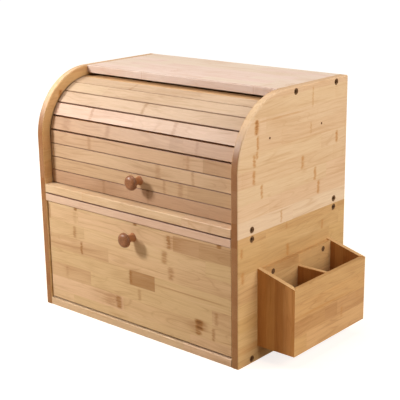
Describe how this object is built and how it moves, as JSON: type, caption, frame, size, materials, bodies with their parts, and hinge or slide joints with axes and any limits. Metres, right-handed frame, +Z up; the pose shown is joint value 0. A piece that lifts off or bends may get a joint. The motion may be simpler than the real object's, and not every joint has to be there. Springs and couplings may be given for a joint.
{
  "type": "bread box with drawer",
  "caption": "Bamboo bread box in tiers: a roll-top compartment of slats on canvas above a pull-out drawer with a turned knob, and an open utensil holder screwed to one side.",
  "frame": {"origin": "middle of the cabinet's underside, half way between its sides and between its front and back edges", "axes": "+X towards the utensil holder on the right, -Y out of the front, +Z up"},
  "size_m": [0.452, 0.2725, 0.368],
  "materials": {
    "bamboo_upper_side": "satin clear lacquer over edge-glued bamboo strips, light",
    "bamboo_lower_side": "satin clear lacquer over edge-glued bamboo strips, golden",
    "bamboo_board": "satin clear lacquer over edge-glued bamboo strips",
    "bamboo_thin_panel": "thin bamboo board, satin lacquer",
    "bamboo_holder": "satin clear lacquer over darker bamboo",
    "bamboo_drawer_front": "satin clear lacquer over staggered bamboo strips",
    "bamboo_drawer_box": "satin clear lacquer over bamboo",
    "bamboo_slat": "satin clear lacquer over solid bamboo slats of uneven tone",
    "knob_wood": "turned, stained and lacquered wood",
    "dowel_wood": "plain fluted-free dowel wood",
    "canvas": "plain woven cotton canvas",
    "screw_steel": "dark plated steel, socket heads"
  },
  "bodies": {
    "cabinet": {"upper_side_left": "bamboo_upper_side", "upper_side_right": "bamboo_upper_side", "upper_top_board": "bamboo_board", "upper_floor_board": "bamboo_board", "upper_back_panel": "bamboo_thin_panel", "lower_side_left": "bamboo_lower_side", "lower_side_right": "bamboo_lower_side", "lower_top_board": "bamboo_board", "lower_floor_board": "bamboo_board", "lower_back_panel": "bamboo_thin_panel", "upper_top_screws": "screw_steel", "upper_floor_screws": "screw_steel", "lower_top_screws": "screw_steel", "lower_floor_screws": "screw_steel", "tier_dowels": "dowel_wood", "holder_back": "bamboo_holder", "holder_front": "bamboo_holder", "holder_end_near": "bamboo_holder", "holder_end_far": "bamboo_holder", "holder_divider": "bamboo_holder", "holder_floor": "bamboo_holder", "holder_screws": "screw_steel"},
    "drawer": {"drawer_front": "bamboo_drawer_front", "drawer_side_left": "bamboo_drawer_box", "drawer_side_right": "bamboo_drawer_box", "drawer_back": "bamboo_drawer_box", "drawer_floor": "bamboo_thin_panel", "drawer_front_dowels": "dowel_wood", "drawer_back_screws": "screw_steel", "drawer_floor_screws": "screw_steel", "drawer_knob": "knob_wood", "drawer_knob_screw": "screw_steel"},
    "slat_1": {"slat_1": "bamboo_slat", "canvas_strip_1": "canvas"},
    "slat_2": {"slat_2": "bamboo_slat", "canvas_strip_2": "canvas"},
    "slat_3": {"slat_3": "bamboo_slat", "canvas_strip_3": "canvas"},
    "slat_4": {"slat_4": "bamboo_slat", "canvas_strip_4": "canvas"},
    "slat_5": {"slat_5": "bamboo_slat", "canvas_strip_5": "canvas"},
    "slat_6": {"slat_6": "bamboo_slat", "canvas_strip_6": "canvas"},
    "slat_7": {"slat_7": "bamboo_slat", "canvas_strip_7": "canvas"},
    "slat_8": {"slat_8": "bamboo_slat", "canvas_strip_8": "canvas"},
    "slat_9": {"slat_9": "bamboo_slat", "canvas_strip_9": "canvas", "roll_top_knob": "knob_wood", "roll_top_knob_screw": "screw_steel"},
    "slat_10": {"slat_10": "bamboo_slat", "canvas_strip_10": "canvas"}
  },
  "joints": [
    {"name": "drawer_slide", "type": "slide", "parent": "cabinet", "child": "drawer", "axis": [0, -1, 0], "range_m": [0, 0.18]},
    {"name": "roll_top_slide", "type": "slide", "parent": "cabinet", "child": "slat_1", "axis": [0, 1, 0], "range_m": [0, 0.1233]},
    {"name": "slat_bend_1", "type": "hinge", "parent": "slat_1", "child": "slat_2", "pos_m": [0, -0.03657, 0.3473], "axis": [1, 0, 0], "range_deg": [-14.99, 0]},
    {"name": "slat_bend_2", "type": "hinge", "parent": "slat_2", "child": "slat_3", "pos_m": [0, -0.05643, 0.34199], "axis": [1, 0, 0], "range_deg": [-14.78, 0]},
    {"name": "slat_bend_3", "type": "hinge", "parent": "slat_3", "child": "slat_4", "pos_m": [0, -0.07427, 0.3318], "axis": [1, 0, 0], "range_deg": [-14.78, 0]},
    {"name": "slat_bend_4", "type": "hinge", "parent": "slat_4", "child": "slat_5", "pos_m": [0, -0.08893, 0.3174], "axis": [1, 0, 0], "range_deg": [-14.78, 0]},
    {"name": "slat_bend_5", "type": "hinge", "parent": "slat_5", "child": "slat_6", "pos_m": [0, -0.09944, 0.29973], "axis": [1, 0, 0], "range_deg": [-14.78, 0]},
    {"name": "slat_bend_6", "type": "hinge", "parent": "slat_6", "child": "slat_7", "pos_m": [0, -0.1051, 0.27998], "axis": [1, 0, 0], "range_deg": [-13.5, 0]},
    {"name": "slat_bend_7", "type": "hinge", "parent": "slat_7", "child": "slat_8", "pos_m": [0, -0.106, 0.25945], "axis": [1, 0, 0], "range_deg": [0, 12.48]},
    {"name": "slat_bend_8", "type": "hinge", "parent": "slat_8", "child": "slat_9", "pos_m": [0, -0.106, 0.2389], "axis": [1, 0, 0], "range_deg": [0, 14.78]},
    {"name": "slat_bend_9", "type": "hinge", "parent": "slat_9", "child": "slat_10", "pos_m": [0, -0.106, 0.21835], "axis": [1, 0, 0], "range_deg": [0, 14.78]}
  ],
  "couplings": [
    {"joint": "slat_bend_1", "follows": "roll_top_slide", "rad_per_m": -2.1195},
    {"joint": "slat_bend_2", "follows": "roll_top_slide", "rad_per_m": -2.0891},
    {"joint": "slat_bend_3", "follows": "roll_top_slide", "rad_per_m": -2.0891},
    {"joint": "slat_bend_4", "follows": "roll_top_slide", "rad_per_m": -2.0891},
    {"joint": "slat_bend_5", "follows": "roll_top_slide", "rad_per_m": -2.0891},
    {"joint": "slat_bend_6", "follows": "roll_top_slide", "rad_per_m": -1.9075},
    {"joint": "slat_bend_7", "follows": "roll_top_slide", "rad_per_m": 1.7634},
    {"joint": "slat_bend_8", "follows": "roll_top_slide", "rad_per_m": 2.0891},
    {"joint": "slat_bend_9", "follows": "roll_top_slide", "rad_per_m": 2.0891}
  ]
}
